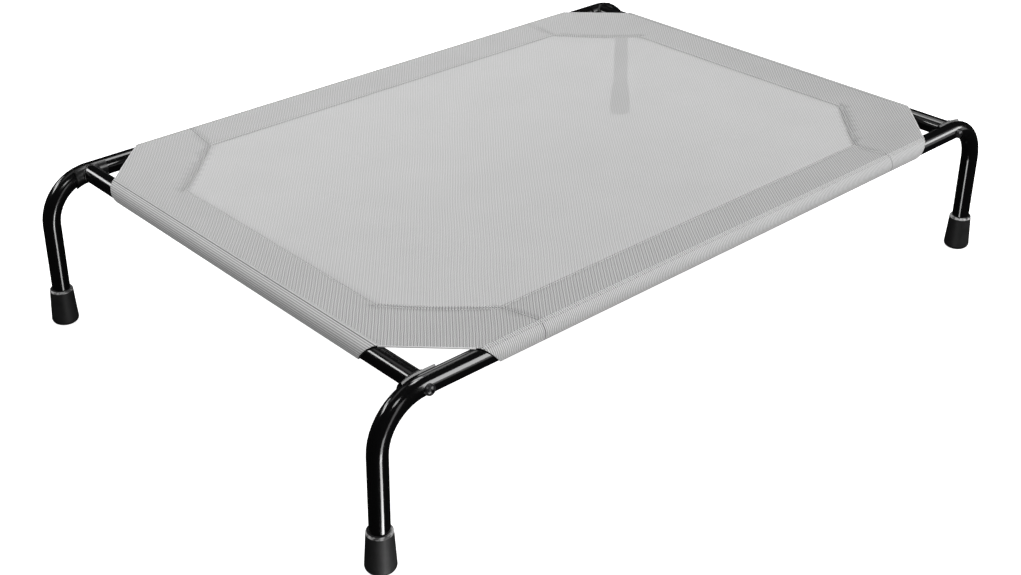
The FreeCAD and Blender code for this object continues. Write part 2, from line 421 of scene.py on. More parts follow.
@dataclass(frozen=True)
class MeshCloth(Finish):
    """Ribbed textile mesh: raised ribs one way, finer threads the other, and small holes between them."""

    tone: Tone
    hole_and_shade_tone: Tone = (0.10, 0.10, 0.10)
    solidity: float = 1.0
    rib_pitch: float = 2.8 * MM
    thread_pitch: float = 1.5 * MM
    streak_pitch: float = 3.7 * MM
    fine_streak: float = 0.62
    streak_heading: float = math.radians(50)
    wander: float = 9 * MM
    wander_per_metre: float = 5.0
    drift: float = 3.15 * MM
    drift_per_metre: float = 40.0
    rear_streaks: float = 0.60
    fade_reach: float = 0.36
    cloud_per_metre: float = 14.0
    fibres_per_metre: float = 500.0
    rib_share: float = 0.12
    thread_share: float = 0.06
    streak_share: float = 0.03
    cloud_share: float = 0.06
    fibre_share: float = 0.16
    # Share of darkening from the painted shade along the seams.
    seam_shade_share: float = 0.50
    rib_roughness: float = 0.78
    gap_roughness: float = 0.95
    sheen: float = 0.15
    sheen_roughness: float = 0.5
    shine: float = 0.2
    rib_height: float = 0.7
    thread_height: float = 0.3
    fibre_height: float = 0.2
    relief_depth: float = 0.22 * MM
    relief_strength: float = 0.7

    def streaks(self, board: NodeBoard, point: Socket, across: Socket, along: Socket) -> Socket:
        """Slanting bands where ribs and threads fall in step, fainter towards the rear.

        Args:
            board: The material's nodes.
            point: Object coordinates.
            across: Place across the ribs.
            along: Place along the ribs.

        Returns:
            How dark the bands are, from 0 to 1.
        """
        slant = board.minus(board.times(across, math.sin(self.streak_heading)),
                            board.times(along, math.cos(self.streak_heading)))
        wander = board.times(board.noise(point, self.wander_per_metre, 1.0), self.wander)
        drift = board.times(board.noise(point, self.drift_per_metre, 1.0), self.drift)
        wide = board.ripple(board.plus(slant, wander), self.streak_pitch)
        fine = board.ripple(board.plus(slant, drift), self.streak_pitch * self.fine_streak)
        _, depth, _ = board.parts(point)
        fade = board.spread(depth, 1.0, self.rear_streaks, -self.fade_reach, self.fade_reach)
        return board.times(board.times(board.plus(wide, fine), 0.5), fade)

    def lay(self, board: NodeBoard, point: Socket) -> None:
        """Everything that darkens the cloth, and its ribs and threads as relief."""
        across, along, _ = board.parts(board.pattern_point())
        ribs = board.ripple(across, self.rib_pitch)
        threads = board.ripple(along, self.thread_pitch)
        fibre = board.noise(point, self.fibres_per_metre)
        # The cloth darkens toward the dark tone in several places. The valleys between ribs and between
        # threads are partly the weave's own dark holes and partly painted shade in those valleys. Slanting
        # bands, random clouds and fibres also darken it, and so does the painted shade along the seams from
        # the seam_shade attribute.
        loss = board.times(board.minus(1.0, ribs), self.rib_share)
        for value, share in ((board.minus(1.0, threads), self.thread_share),
                             (self.streaks(board, point, across, along), self.streak_share),
                             (board.noise(point, self.cloud_per_metre, 4.0), self.cloud_share),
                             (fibre, self.fibre_share),
                             (board.attribute(SEAM_SHADE), self.seam_shade_share)):
            loss = board.plus(loss, board.times(value, share))
        board.set(Base_Color=board.blend(loss, self.tone, self.hole_and_shade_tone),
                  Roughness=board.spread(ribs, self.gap_roughness, self.rib_roughness), Alpha=self.solidity,
                  Sheen_Weight=self.sheen, Sheen_Roughness=self.sheen_roughness,
                  Specular_IOR_Level=self.shine)
        weave = board.plus(board.times(ribs, self.rib_height), board.times(threads, self.thread_height))
        board.relief(board.plus(weave, board.times(fibre, self.fibre_height)), self.relief_depth,
                     self.relief_strength)


GLOSS_COAT = MottledFinish("black_gloss_powder_coat", (0.0030, 0.0030, 0.0032), (0.0050, 0.0050, 0.0052),
                           smoothest=0.09, roughest=0.17, cloud_per_metre=9.0, cloud_detail=3.0,
                           grain_per_metre=420.0, grain_detail=1.0, grain_depth=0.012 * MM)
SADDLE_COAT = replace(GLOSS_COAT, name="dull_saddle_coat", smoothest=0.24, roughest=0.32)
WELD_COAT = MottledFinish("coated_weld", (0.004, 0.004, 0.004), (0.009, 0.009, 0.0095),
                          smoothest=0.16, roughest=0.34, cloud_per_metre=500.0, cloud_detail=3.0,
                          grain_per_metre=500.0, grain_detail=3.0, grain_depth=0.12 * MM)
BLACK_ZINC = MottledFinish("black_zinc", (0.008, 0.008, 0.0085), (0.040, 0.040, 0.042),
                           smoothest=0.22, roughest=0.42, cloud_per_metre=260.0, cloud_detail=4.0,
                           grain_per_metre=2600.0, grain_detail=2.0, grain_depth=0.01 * MM, metallic=0.35)
ZINC_PLATE = MottledFinish("zinc_plate", (0.50, 0.50, 0.52), (0.68, 0.68, 0.70),
                           smoothest=0.25, roughest=0.45, cloud_per_metre=320.0, cloud_detail=4.0,
                           grain_per_metre=1500.0, grain_detail=3.0, grain_depth=0.01 * MM, metallic=1.0)
SEWING_THREAD = MottledFinish("sewing_thread", (0.88, 0.88, 0.88), (0.6336, 0.6336, 0.6336),
                              smoothest=0.5, roughest=0.75, cloud_per_metre=1400.0, cloud_detail=2.0,
                              grain_per_metre=1400.0, grain_detail=2.0, grain_depth=0.06 * MM, sheen=0.2)
CLOTHS = {
    Layers.SINGLE: MeshCloth("mesh_cloth_single", (0.80, 0.80, 0.80), solidity=0.77, streak_share=0.37),
    Layers.DOUBLE: MeshCloth("mesh_cloth_double", (0.725, 0.725, 0.725), streak_share=0.62),
    Layers.WRAPPED: MeshCloth("mesh_cloth_wrapped", (0.84, 0.84, 0.84), rib_share=0.50, streak_share=0.05),
    # The fold's cloth is a lighter copy of the cloth without seam shade: a painted highlight along the folded
    # edge.
    Layers.FOLDED: MeshCloth("mesh_cloth_folded_painted_highlight", (0.86, 0.86, 0.86), seam_shade_share=0.0),
}


# ---- the cover


@dataclass(frozen=True)
class BedLayout:
    """Where the tubes and the seams lie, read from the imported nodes."""

    rail_y: float
    cross_x: float
    axis_z: float
    tube_radius: float
    sleeve_radius: float
    top_z: float
    patch_seam_x: float
    patch_seam_y: float
    corner_cut: float = 77.0 * MM
    side_hem: float = 61.5 * MM
    rail_hem: float = 57.0 * MM
    inner_corner: float = 222.7 * MM
    sag: float = 14.0 * MM
    sag_reach: float = 92.0 * MM
    edge_blend: float = 12.0 * MM
    edge_rise: float = 2.5 * MM

    @classmethod
    def from_frame(cls) -> "BedLayout":
        """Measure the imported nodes."""
        rail_low, rail_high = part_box("front_leg_rail")
        cross_low, cross_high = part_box("left_cross_tube")
        _, sleeve_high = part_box("rear_sleeve")
        patch_low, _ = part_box("rear_right_corner_patch")
        rail_y = -(rail_low.y + rail_high.y) / 2
        return cls(rail_y=rail_y,
                   cross_x=-(cross_low.x + cross_high.x) / 2,
                   axis_z=(cross_low.z + cross_high.z) / 2,
                   tube_radius=(rail_high.y - rail_low.y) / 2,
                   sleeve_radius=sleeve_high.y - rail_y,
                   top_z=sleeve_high.z,
                   patch_seam_x=patch_low.x,
                   patch_seam_y=patch_low.y)

    @property
    def inner_x(self) -> float:
        """How far out the inner seam along each cross tube lies."""
        return self.cross_x - self.side_hem

    @property
    def inner_y(self) -> float:
        """How far out the inner seam along each rail lies."""
        return self.rail_y - self.rail_hem

    @property
    def turn_x(self) -> float:
        """Where the inner seam along a rail turns into the corner's."""
        return self.cross_x - (self.inner_corner - self.rail_hem)

    @property
    def turn_y(self) -> float:
        """Where the inner seam along a cross tube turns into the corner's."""
        return self.rail_y - (self.inner_corner - self.side_hem)

    def hang(self, x: float, y: float) -> float:
        """How far the taut cloth hangs below the tops of the tubes at a place.

        Args:
            x: Place along the leg rails.
            y: Place along the cross tubes.

        Returns:
            The drop, in metres, nought over the tubes and along the cut-off corners.
        """
        from_cross = self.cross_x - abs(x)
        from_rail = self.rail_y - abs(y)
        from_cut = (from_cross + from_rail - self.corner_cut) * math.sqrt(0.5)
        total = sum(math.exp(-max(d, 0.0) / self.edge_blend) for d in (from_cross, from_rail, from_cut))
        inward = max(0.0, -self.edge_blend * math.log(total))
        inward = math.hypot(inward, self.edge_rise) - self.edge_rise
        return self.sag * (1 - math.exp(-inward / self.sag_reach))


@dataclass(frozen=True)
class PocketPath:
    """Section of a sleeve's outer face: round its tube, then in under the panel."""

    radius: float
    lap: float
    leave: float
    under: float
    reach: float
    rows: tuple[float, ...]
    bend: float = 6 * MM
    lap_rise: float = 0.75 * MM
    lap_width: float = math.radians(20)
    row_depth: float = 0.35 * MM
    row_width: float = 0.7 * MM

    @property
    def round_length(self) -> float:
        """Length of the cloth that lies round the tube."""
        return (self.leave - self.lap) * self.radius

    @property
    def turn(self) -> float:
        """Angle through which the cloth still turns after it leaves the tube."""
        return self.leave - math.pi

    @property
    def bent_length(self) -> float:
        """Length of the cloth up to where it lies flat under the panel."""
        return self.round_length + self.bend * self.turn

    @property
    def meets(self) -> float:
        """How far in from the tube's axis the cloth meets the panel."""
        return -self.radius * math.sin(self.leave) + self.bend * math.sin(self.turn)

    @property
    def total(self) -> float:
        """Whole length of the cloth in the section."""
        return self.bent_length + self.reach - self.meets

    def fitted(self, level: float) -> "PocketPath":
        """The same path with the bend that brings it up to a level above the tube's axis."""
        rise = level - self.radius * math.cos(self.leave)
        return replace(self, under=level, bend=rise / (1 - math.cos(self.turn)))

    def row_share(self, length: float) -> float:
        """How near a length lies to one of the stitched rows, from 0 to 1."""
        return max((bell(length - row, self.row_width) for row in self.rows), default=0.0)

    def at(self, length: float) -> tuple[float, float]:
        """Place inward of the tube's axis and above it, for a length along the cloth."""
        if length <= self.round_length:
            angle = self.lap + length / self.radius
            ease = min(1.0, max(0.0, (angle - self.lap - self.lap_width) / self.lap_width))
            grown = self.radius + self.lap_rise * (1 - ease * ease * (3 - 2 * ease))
            grown -= self.row_depth * self.row_share(length)
            return -grown * math.sin(angle), grown * math.cos(angle)
        if length <= self.bent_length:
            heading = self.turn - (length - self.round_length) / self.bend
            centre_in = self.meets
            centre_up = self.under - self.bend
            return centre_in - self.bend * math.sin(heading), centre_up + self.bend * math.cos(heading)
        return self.meets + length - self.bent_length, self.under


@dataclass
class SewnCover:
    """The cover: one panel, a sleeve on each tube, and a reinforced patch at each corner."""

    layout: BedLayout
    finishes: dict[Layers, bpy.types.Material]
    cloth: float = 0.7 * MM
    sleeve_cloth: float = 0.8 * MM
    layer_gap: float = 0.15 * MM
    rail_lap: float = math.radians(11)
    cross_lap: float = math.radians(-9)
    rail_rows: tuple[float, ...] = (1.0 * MM, 4.6 * MM)
    cross_rows: tuple[float, ...] = (0.3 * MM, 5.0 * MM)
    leave: float = math.radians(284)
    rail_slant: float = 0.80
    cross_slant: float = 0.7
    pocket_recess: float = 34 * MM
    tuck: float = math.radians(9)
    twin_gap: float = 5.6 * MM
    seam_gap: float = 0.02 * MM
    seam_depth: float = 0.45 * MM
    seam_width: float = 0.9 * MM
    # These presses set how far the seams sink the panel and how dark the painted shade along the seams is.
    inner_press: float = 0.45
    patch_press: float = 0.8
    tube_press: float = 0.9
    end_seam_width: float = 0.8 * MM
    patch_clearance: float = 6 * MM
    fold_radius: float = 1.0 * MM
    fold_sides: int = 14
    fold_inset: float = 0.35
    fold_crown: float = 0.3
    fold_proud: float = 0.1 * MM
    along_step: float = 12 * MM
    arc_step: float = 1.6 * MM
    hem_step: float = 6 * MM
    fitting_rounds: int = 5
    edge_loops: tuple[float, ...] = (0, 1 * MM, 2 * MM, 3.5 * MM, 5.5 * MM, 8 * MM)
    end_loops: tuple[float, ...] = (TRIM_WIDTH, 1.2 * MM, 2.0 * MM)
    row_loops: tuple[float, ...] = (-0.8 * MM, 0.0, 0.8 * MM)
    groove: tuple[float, ...] = (-1 * MM, 0.0, 1 * MM)
    slot: str = "grey_mesh_cloth"

    def build(self) -> None:
        """Make every sheet: the panel first, then the sleeves, the corner patches and the folds."""
        self.panel()
        for side in Side:
            self.sleeve(side)
        for corner in Corner:
            self.corner_patch(corner)
        for corner in Corner:
            self.cut_edge_fold(corner)

    def straight_gap(self, x: float, y: float) -> float:
        """Distance outward from the lines of the four straight inner seams in plan."""
        return max(abs(x) - self.layout.inner_x, abs(y) - self.layout.inner_y)

    def corner_gap(self, x: float, y: float) -> float:
        """Distance outward from the line of the nearest corner's inner seam in plan."""
        bed = self.layout
        return (abs(x) + abs(y) - (bed.cross_x - bed.inner_corner) - bed.rail_y) * math.sqrt(0.5)

    def ring_gap(self, x: float, y: float) -> float:
        """Distance outward from the inner seams in plan: below nought where the cloth is single."""
        return max(self.straight_gap(x, y), self.corner_gap(x, y))

    def patch_seam_gap(self, x: float, y: float) -> float:
        """Distance in plan from the nearest seam that runs from the inner seams out to a rail."""
        bed = self.layout
        start = Vector((bed.turn_x, bed.inner_y))
        end = Vector((bed.patch_seam_x, bed.rail_y + bed.sleeve_radius))
        place = Vector((abs(x), abs(y)))
        share = min(1.0, max(0.0, (place - start).dot(end - start) / (end - start).length_squared))
        return (place - start.lerp(end, share)).length

    def seam_share(self, x: float, y: float) -> float:
        """How strongly the seams press the panel down at a place in plan, from 0 to 1; also the strength of
        the painted shade along them.
        """
        bed = self.layout
        shares = [self.inner_press * bell(self.ring_gap(x, y), self.seam_width),
                  self.patch_press * bell(self.patch_seam_gap(x, y), self.seam_width)]
        for offset in (0.0, self.twin_gap):
            if self.straight_gap(x, y) < offset:
                shares.append(bell(self.corner_gap(x, y) - offset, self.seam_width))
        if abs(y) < bed.rail_y - bed.corner_cut:
            shares.append(self.tube_press * bell(bed.cross_x - abs(x), self.seam_width))
        return max(shares)

    def panel_point(self, x: float, y: float) -> Vector:
        """Place of a point of the panel's flat pattern, wrapped over the tubes at its edges."""
        bed = self.layout
        radius = bed.sleeve_radius
        turn_x = max(0.0, abs(x) - bed.cross_x) / radius
        turn_y = max(0.0, abs(y) - bed.rail_y) / radius
        px = math.copysign(min(abs(x), bed.cross_x) + radius * math.sin(turn_x), x)
        py = math.copysign(min(abs(y), bed.rail_y) + radius * math.sin(turn_y), y)
        drop = radius * (2 - math.cos(turn_x) - math.cos(turn_y)) + self.seam_depth * self.seam_share(x, y)
        return Vector((px, py, bed.top_z - drop - bed.hang(x, y)))

    def panel(self) -> None:
        """The sleeping panel, with one layer of cloth in the middle and two around it."""
        bed = self.layout
        reach_x = bed.cross_x + (self.tuck + self.cross_lap) * bed.sleeve_radius
        reach_y = bed.rail_y + (self.tuck + self.rail_lap) * bed.sleeve_radius
        over_rail = spaced(0, reach_y - bed.rail_y, self.arc_step)
        xs = merged(spaced(-bed.cross_x, bed.cross_x, self.along_step), (-reach_x, reach_x),
                    (sign * (bed.cross_x - edge) for sign in (-1, 1) for edge in self.edge_loops))
        ys = merged(spaced(-bed.rail_y, bed.rail_y, self.along_step),
                    (sign * (bed.rail_y - edge) for sign in (-1, 1) for edge in self.edge_loops),
                    (sign * (bed.rail_y + edge) for sign in (-1, 1) for edge in over_rail))
        twin = tuple(self.twin_gap + offset for offset in self.groove)
        lines = []
        for sign in (-1, 1):
            lines.append(((sign * bed.inner_x, 0), (sign, 0), self.groove))
            lines.append(((0, sign * bed.inner_y), (0, sign), self.groove))
        for corner in Corner:
            sx, sy = corner.value
            inner = (sx * (bed.cross_x - bed.inner_corner), sy * bed.rail_y)
            lines.append((inner, (sx, sy), self.groove + twin))
            lines.append(((sx * (bed.cross_x - bed.corner_cut), sy * bed.rail_y), (sx, sy), TRIM))
            run = Vector((bed.patch_seam_x - bed.turn_x, bed.rail_y + bed.sleeve_radius - bed.inner_y))
            lines.append(((sx * bed.turn_x, sy * bed.inner_y), (sx * run.y, -sy * run.x), self.groove))
        limit = bed.cross_x - bed.corner_cut + bed.rail_y
        bm = cloth_grid(xs, ys, self.panel_point, lines, lambda x, y: abs(x) + abs(y) < limit,
                        self.seam_share)
        for face in bm.faces:
            middle = face.calc_center_median()
            face.material_index = 1 if self.ring_gap(middle.x, middle.y) > 0 else 0
        if bm.faces[0].normal.z < 0:
            bmesh.ops.reverse_faces(bm, faces=bm.faces[:])
        finishes = [self.finishes[Layers.SINGLE], self.finishes[Layers.DOUBLE]]
        piece = make_piece("sleeping_panel_cloth", bm, finishes, self.slot, ["sleeping_panel"])
        thicken(piece, self.cloth)

    @property
    def hem_level(self) -> float:
        """Height of the outer face of a hem that lies under the panel's edge."""
        return self.layout.top_z - self.cloth - self.sleeve_cloth - self.layer_gap

    def pocket(self, side: Side, reach: float) -> PocketPath:
        """Section of one tube's sleeve, with an inner edge that lies a reach in from the tube's axis."""
        bed = self.layout
        path = PocketPath(radius=bed.sleeve_radius, lap=self.rail_lap if side.along_rail else self.cross_lap,
                          leave=self.leave, under=0.0, reach=reach,
                          rows=self.rail_rows if side.along_rail else self.cross_rows)
        for _ in range(self.fitting_rounds):
            x, y = (0, bed.rail_y - path.meets) if side.along_rail else (bed.cross_x - path.meets, 0)
            path = path.fitted(self.hem_level - bed.axis_z - bed.hang(x, y))
        return path

    def strip(self, side: Side, span: tuple[float, float], path: PocketPath, lines: list[FlatLine],
              keep: Keep, seams: tuple[float, ...] = ()) -> BMesh:
        """A strip of cloth around one tube and in under the panel.

        Args:
            side: Which tube.
            span: Where the strip starts and ends along the tube.
            path: The sleeve's section.
            lines: Lines of the pattern, in length along the tube and round it.
            keep: Which part of the pattern is used, in the same lengths.
            seams: Places along the tube where a seam runs round it.

        Returns:
            The strip.
        """
        bed = self.layout
        offset = bed.rail_y if side.along_rail else bed.cross_x
        near_row = (row + loop for row in path.rows for loop in self.row_loops)
        lengths = merged([0.0, TRIM_WIDTH], (length for length in near_row if length > 0),
                         spaced(0, path.bent_length, self.arc_step),
                         spaced(path.bent_length, path.total, self.hem_step), [path.total - TRIM_WIDTH])
        stations = merged(spaced(*span, self.along_step), (span[0] + loop for loop in self.end_loops),
                          (span[1] - loop for loop in self.end_loops))

        def pressed(along: float, length: float) -> float:
            """How strongly the seams press the strip in, from 0 to 1: the strength of the painted shade along
            them.
            """
            round_tube = max((bell(along - seam, self.end_seam_width) for seam in seams), default=0.0)
            return max(self.tube_press * path.row_share(length), self.patch_press * round_tube)

        def laid(along: float, length: float) -> Vector:
            """Place of a point of the strip, by its lengths along the tube and round it."""
            inward, up = path.at(length)
            outward = side.sign * (offset - inward)
            x, y = (along, outward) if side.along_rail else (outward, along)
            share = min(1.0, max(0.0, (length - path.round_length) / (path.bent_length - path.round_length)))
            level = self.hem_level - bed.hang(x, y) - bed.axis_z
            return Vector((x, y, bed.axis_z + up + share * (level - path.under)))

        if side.along_rail:
            return cloth_grid(stations, lengths, laid, lines, keep, pressed)
        turned = [((point[1], point[0]), (normal[1], normal[0]), offsets) for point, normal, offsets in lines]
        return cloth_grid(lengths, stations, lambda length, along: laid(along, length), turned,
                          lambda length, along: keep(along, length),
                          lambda length, along: pressed(along, length))

    def finish_sheet(self, bm: BMesh, node: str) -> None:
        """Args:
            bm: The strip.
            node: CAD node that it stands for.
        """
        lowest = min(bm.faces, key=lambda face: face.calc_center_median().z)
        if lowest.normal.z > 0:
            bmesh.ops.reverse_faces(bm, faces=bm.faces[:])
        piece = make_piece(node + "_cloth", bm, [self.finishes[Layers.WRAPPED]], self.slot, [node])
        thicken(piece, self.sleeve_cloth)

    def open_end(self, top: float, slant: float, lap: float) -> Callable[[float], float]:
        """How far along the tube a sleeve's open end reaches, by the length round the tube.

        Args:
            top: Place of the end on the tube's top.
            slant: How far the end draws back for each length round the tube.
            lap: Angle at which the sleeve starts.

        Returns:
            A function from the length round the tube to the place along it.
        """
        start = lap * self.layout.sleeve_radius
        return lambda length: top - min(slant * max(0.0, start + length), self.pocket_recess)

    def sleeve(self, side: Side) -> None:
        """The sleeve on one tube, with its seam allowance under the panel."""
        bed = self.layout
        node = side.label + "_sleeve"
        if side.along_rail:
            end = bed.patch_seam_x - self.seam_gap
            path = self.pocket(side, bed.rail_hem)
            bm = self.strip(side, (-end, end), path, [], lambda along, length: True, (-end, end))
            self.finish_sheet(bm, node)
            return
        path = self.pocket(side, bed.side_hem)
        top = bed.rail_y - bed.corner_cut
        hem_end = bed.patch_seam_y - self.seam_gap
        reaches = self.open_end(top, self.cross_slant, self.cross_lap)
        mouth = top - self.cross_lap * bed.sleeve_radius * self.cross_slant
        lines = []
        for end in (-1, 1):
            lines.append(((end * mouth, 0), (end, self.cross_slant), TRIM))
            lines.append(((end * (top - self.pocket_recess), 0), (end, 0), TRIM))
            lines.append(((end * hem_end, 0), (end, 0), TRIM))

        def keep(along: float, length: float) -> bool:
            """Whether a place of the pattern belongs to the sleeve."""
            if length > path.bent_length:
                return abs(along) < hem_end
            return abs(along) < reaches(length)

        spare = self.end_loops[-1]
        bm = self.strip(side, (-top - spare, top + spare), path, lines, keep)
        self.finish_sheet(bm, node)

    def corner_patch(self, corner: Corner) -> None:
        """The doubled corner and the end of the rail's sleeve."""
        bed = self.layout
        sx, sy = corner.value
        side = Side.REAR if sy > 0 else Side.FRONT
        start = bed.patch_seam_x + self.seam_gap
        path = self.pocket(side, bed.rail_y - bed.patch_seam_y)
        top = bed.cross_x - bed.corner_cut
        reaches = self.open_end(top, self.rail_slant, self.rail_lap)
        side_limit = bed.cross_x - bed.sleeve_radius - self.patch_clearance
        inner = bed.cross_x - bed.inner_corner + path.meets - path.bent_length
        mouth = top - self.rail_lap * bed.sleeve_radius * self.rail_slant
        lines = [((sx * mouth, 0), (sx, self.rail_slant), TRIM),
                 ((sx * (top - self.pocket_recess), 0), (sx, 0), TRIM),
                 ((sx * (top + path.meets), path.bent_length), (sx, -1), TRIM),
                 ((sx * side_limit, 0), (sx, 0), TRIM),
                 ((sx * inner, 0), (-sx, 1), TRIM)]

        def keep(along: float, length: float) -> bool:
            """Whether a place of the pattern belongs to the patch."""
            place = abs(along)
            if length <= path.bent_length:
                return place < reaches(length)
            inward = path.meets + length - path.bent_length
            return place < min(top + inward, side_limit) and place > inner + length

        span = (start, bed.cross_x) if sx > 0 else (-bed.cross_x, -start)
        bm = self.strip(side, span, path, lines, keep, (sx * start,))
        self.finish_sheet(bm, corner.label + "_corner_patch")

    def cut_edge_fold(self, corner: Corner) -> None:
        """The rounded fold of the cloth along one cut-off corner."""
        bed = self.layout
        sx, sy = corner.value
        radius = self.fold_radius
        bm = bmesh.new()
        bmesh.ops.create_cone(bm, cap_ends=True, segments=self.fold_sides, radius1=radius, radius2=radius,
                              depth=bed.corner_cut * math.sqrt(2))
        caps = [face for face in bm.faces if len(face.verts) > 4]
        bmesh.ops.inset_region(bm, faces=caps, thickness=radius * self.fold_inset,
                               depth=radius * self.fold_crown)
        lay_down = Matrix.Rotation(math.radians(90), 3, "X")
        slant = Matrix.Rotation(sx * sy * math.radians(45), 3, "Z")
        bmesh.ops.rotate(bm, verts=bm.verts[:], matrix=slant @ lay_down)
        middle = Vector((sx * (bed.cross_x - bed.corner_cut / 2), sy * (bed.rail_y - bed.corner_cut / 2),
                         bed.top_z - radius + self.fold_proud))
        bmesh.ops.translate(bm, verts=bm.verts[:], vec=middle)
        # Its finish is the lighter cloth that paints a highlight along the fold.
        make_piece(corner.label + "_cut_edge_fold", bm, [self.finishes[Layers.FOLDED]], self.slot)


# ---- stitching


@dataclass
class Stitching:
    """Rows of lock stitches along the cover's seams."""

    layout: BedLayout
    cover: SewnCover
    thread: bpy.types.Material
    pitch: float = 3.6 * MM
    stitch_length: float = 2.7 * MM
    thread_radius: float = 0.50 * MM
    thread_sides: int = 6
    thread_rings: int = 4
    lift: float = 0.35
    look_ahead: float = 0.25
    rail_row_stop: float = 8 * MM
    cross_row_stop: float = 5 * MM
    cross_row: float = 3.0 * MM
    hem_inset: float = 2.5 * MM
    slot: str = "grey_mesh_cloth"

    def row(self, bm: BMesh, path: RowPath, length: float) -> None:
        """Sew one row into a bmesh.

        Args:
            bm: The bmesh that gets the stitches.
            path: Gives the point on the cloth and the cloth's normal for a share of the row, from 0 to 1.
            length: Length of the row, in metres.
        """
        count = max(2, round(length / self.pitch))
        scratch = bpy.data.meshes.new("stitch")
        lay_down = Matrix.Rotation(math.radians(90), 4, "Y")
        for index in range(count):
            share = (index + 0.5) / count
            step = self.look_ahead / count
            before, _ = path(share - step)
            point, normal = path(share)
            after, _ = path(share + step)
            along = (after - before).normalized()
            side = normal.cross(along).normalized()
            turn = Matrix((along, side, normal)).transposed().to_4x4()
            grow = Matrix.Diagonal((self.stitch_length / 2, self.thread_radius, self.thread_radius, 1))
            lift = Matrix.Translation(point + normal * self.thread_radius * self.lift)
            stitch = bmesh.new()
            bmesh.ops.create_uvsphere(stitch, u_segments=self.thread_sides, v_segments=self.thread_rings,
                                      radius=1.0, matrix=lift @ turn @ grow @ lay_down)
            stitch.to_mesh(scratch)
            stitch.free()
            bm.from_mesh(scratch)
        bpy.data.meshes.remove(scratch)

    def sleeve_row(self, bm: BMesh, side: Side, length: float, end: float) -> None:
        """A row along a sleeve, a length round its tube from the sleeve's edge."""
        bed = self.layout
        path = self.cover.pocket(side, bed.rail_hem)
        angle = path.lap + length / path.radius
        inward, up = path.at(length)
        outward = side.sign * ((bed.rail_y if side.along_rail else bed.cross_x) - inward)
        lean = side.sign * math.sin(angle)

        def place(share: float) -> tuple[Vector, Vector]:
            """Point and normal along the row."""
            along = end * (2 * share - 1)
            if side.along_rail:
                return Vector((along, outward, bed.axis_z + up)), Vector((0, lean, math.cos(angle)))
            return Vector((outward, along, bed.axis_z + up)), Vector((lean, 0, math.cos(angle)))

        self.row(bm, place, 2 * end)

    def panel_row(self, bm: BMesh, start: tuple[float, float], end: tuple[float, float]) -> None:
        """A row straight across the panel between two places in plan."""
        first, last = Vector(start), Vector(end)

        def place(share: float) -> tuple[Vector, Vector]:
            """Point and normal along the row."""
            spot = first.lerp(last, share)
            return self.cover.panel_point(spot.x, spot.y), Vector((0, 0, 1))

        self.row(bm, place, (last - first).length)

    def build(self) -> None:
        """Sew every row: one piece for each sleeve and each corner, and one for the hems' inner edges."""
        bed = self.layout
        for side in Side:
            bm = bmesh.new()
            if side.along_rail:
                for length in self.cover.rail_rows:
                    self.sleeve_row(bm, side, length, bed.cross_x - bed.corner_cut - self.rail_row_stop)
            else:
                self.sleeve_row(bm, side, self.cross_row, bed.rail_y - bed.corner_cut - self.cross_row_stop)
            make_piece(side.label + "_sleeve_stitching", bm, [self.thread], self.slot)
        for corner in Corner:
            sx, sy = corner.value
            bm = bmesh.new()
            for offset in (0.0, self.cover.twin_gap):
                shift = offset * math.sqrt(0.5)
                self.panel_row(bm, (sx * (bed.turn_x + shift), sy * (bed.inner_y + shift)),
                               (sx * (bed.inner_x + shift), sy * (bed.turn_y + shift)))
            self.panel_row(bm, (sx * bed.turn_x, sy * bed.inner_y), (sx * bed.patch_seam_x, sy * bed.rail_y))
            make_piece(corner.label + "_patch_stitching", bm, [self.thread], self.slot)
        bm = bmesh.new()
        for sign in (-1, 1):
            level_y = sign * (bed.inner_y + self.hem_inset)
            level_x = sign * (bed.inner_x + self.hem_inset)
            self.panel_row(bm, (-bed.turn_x, level_y), (bed.turn_x, level_y))
            self.panel_row(bm, (level_x, -bed.turn_y), (level_x, bed.turn_y))
        make_piece("hem_stitching", bm, [self.thread], self.slot)


# ---- the frame


